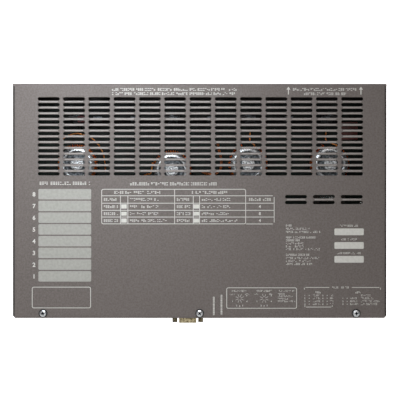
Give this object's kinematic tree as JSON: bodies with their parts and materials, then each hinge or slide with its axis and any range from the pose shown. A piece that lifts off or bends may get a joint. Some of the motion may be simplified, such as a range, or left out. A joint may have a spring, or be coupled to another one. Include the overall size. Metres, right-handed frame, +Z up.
{
  "type": "dimmer pack",
  "caption": "Wall-hung dimmer pack: folded steel case, perforated screwed cover, chokes and triacs inside, sockets below.",
  "frame": {"origin": "middle of the case's rear face, on the wall", "axes": "+X right seen from the front, +Y into the wall, +Z up"},
  "size_m": [0.357, 0.0874, 0.2301],
  "materials": {
    "case_powder_coat": "fine texture powder coat, darker than the cover",
    "cover_powder_coat": "fine texture powder coat with pale print",
    "circuit_board": "glass-epoxy laminate with solder mask",
    "aluminium_section": "black anodised",
    "black_moulding": "moulded",
    "green_moulding": "moulded",
    "white_moulding": "moulded",
    "laminated_steel": "varnished laminations",
    "red_brown_case": "dipped",
    "yellow_passivate": "zinc plate, yellow passivated",
    "zinc_plate": "bright zinc plate",
    "powder_core": "coated ring core",
    "enamelled_copper": "enamelled copper wire",
    "fuse_glass": "clear tube with plated end caps",
    "grommet_rubber": "matt",
    "green_lens": "tinted clear",
    "red_lens": "tinted clear",
    "ribbon_sheath": "flat cable"
  },
  "bodies": {
    "case": {"chassis": "case_powder_coat", "power_board": "circuit_board", "control_board": "circuit_board", "heat_sink": "aluminium_section", "supply_terminals": "black_moulding", "load_terminals": "green_moulding", "transformer_core": "laminated_steel", "transformer_coil": "black_moulding", "suppression_capacitor": "red_brown_case", "input_socket_shell": "yellow_passivate", "input_socket_insert": "black_moulding", "jackscrew_left": "yellow_passivate", "jackscrew_right": "yellow_passivate", "data_jacks": "black_moulding", "data_socket_body": "black_moulding", "data_socket_pins": "zinc_plate", "indicator_lamp_1": "green_lens", "indicator_lamp_2": "red_lens", "board_link_cable": "ribbon_sheath", "control_pillar_left": "yellow_passivate", "control_pillar_right": "yellow_passivate", "choke_core_1": "powder_core", "choke_winding_1": "enamelled_copper", "choke_washer_1": "zinc_plate", "choke_bolt_1": "zinc_plate", "triac_1": "black_moulding", "channel_fuse_1": "fuse_glass", "cable_grommet_1": "grommet_rubber", "choke_core_2": "powder_core", "choke_winding_2": "enamelled_copper", "choke_washer_2": "zinc_plate", "choke_bolt_2": "zinc_plate", "triac_2": "black_moulding", "channel_fuse_2": "fuse_glass", "cable_grommet_2": "grommet_rubber", "choke_core_3": "powder_core", "choke_winding_3": "enamelled_copper", "choke_washer_3": "zinc_plate", "choke_bolt_3": "zinc_plate", "triac_3": "black_moulding", "channel_fuse_3": "fuse_glass", "cable_grommet_3": "grommet_rubber", "choke_core_4": "powder_core", "choke_winding_4": "enamelled_copper", "choke_washer_4": "zinc_plate", "choke_bolt_4": "zinc_plate", "triac_4": "black_moulding", "channel_fuse_4": "fuse_glass", "cable_grommet_4": "grommet_rubber", "control_socket_1": "black_moulding", "control_socket_2": "black_moulding"},
    "cover": {"front_cover": "cover_powder_coat"},
    "cover_screw_left": {"cover_screw_left": "zinc_plate"},
    "cover_screw_middle": {"cover_screw_middle": "zinc_plate"},
    "cover_screw_right": {"cover_screw_right": "zinc_plate"},
    "address_dial_1": {"address_dial_1": "white_moulding"},
    "address_dial_2": {"address_dial_2": "white_moulding"},
    "address_dial_3": {"address_dial_3": "white_moulding"},
    "input_trimmer": {"input_trimmer": "white_moulding"}
  },
  "joints": [
    {"name": "cover_off", "type": "slide", "parent": "case", "child": "cover", "axis": [0, -1, 0], "range_m": [0, 0.06]},
    {"name": "cover_screw_left_turn", "type": "hinge", "parent": "cover", "child": "cover_screw_left", "pos_m": [-0.1494, -0.0853, -0.1073], "axis": [0, -1, 0], "continuous": true},
    {"name": "cover_screw_middle_turn", "type": "hinge", "parent": "cover", "child": "cover_screw_middle", "pos_m": [0, -0.0853, -0.1073], "axis": [0, -1, 0], "continuous": true},
    {"name": "cover_screw_right_turn", "type": "hinge", "parent": "cover", "child": "cover_screw_right", "pos_m": [0.1494, -0.0853, -0.1073], "axis": [0, -1, 0], "continuous": true},
    {"name": "address_dial_1_turn", "type": "hinge", "parent": "case", "child": "address_dial_1", "pos_m": [0.0531, -0.0575, -0.0776], "axis": [0, -1, 0], "continuous": true},
    {"name": "address_dial_2_turn", "type": "hinge", "parent": "case", "child": "address_dial_2", "pos_m": [0.06814, -0.0575, -0.0776], "axis": [0, -1, 0], "continuous": true},
    {"name": "address_dial_3_turn", "type": "hinge", "parent": "case", "child": "address_dial_3", "pos_m": [0.08319, -0.0575, -0.0776], "axis": [0, -1, 0], "continuous": true},
    {"name": "input_trimmer_turn", "type": "hinge", "parent": "case", "child": "input_trimmer", "pos_m": [0.03009, -0.0575, -0.0776], "axis": [0, -1, 0], "range_deg": [-135, 135]}
  ]
}
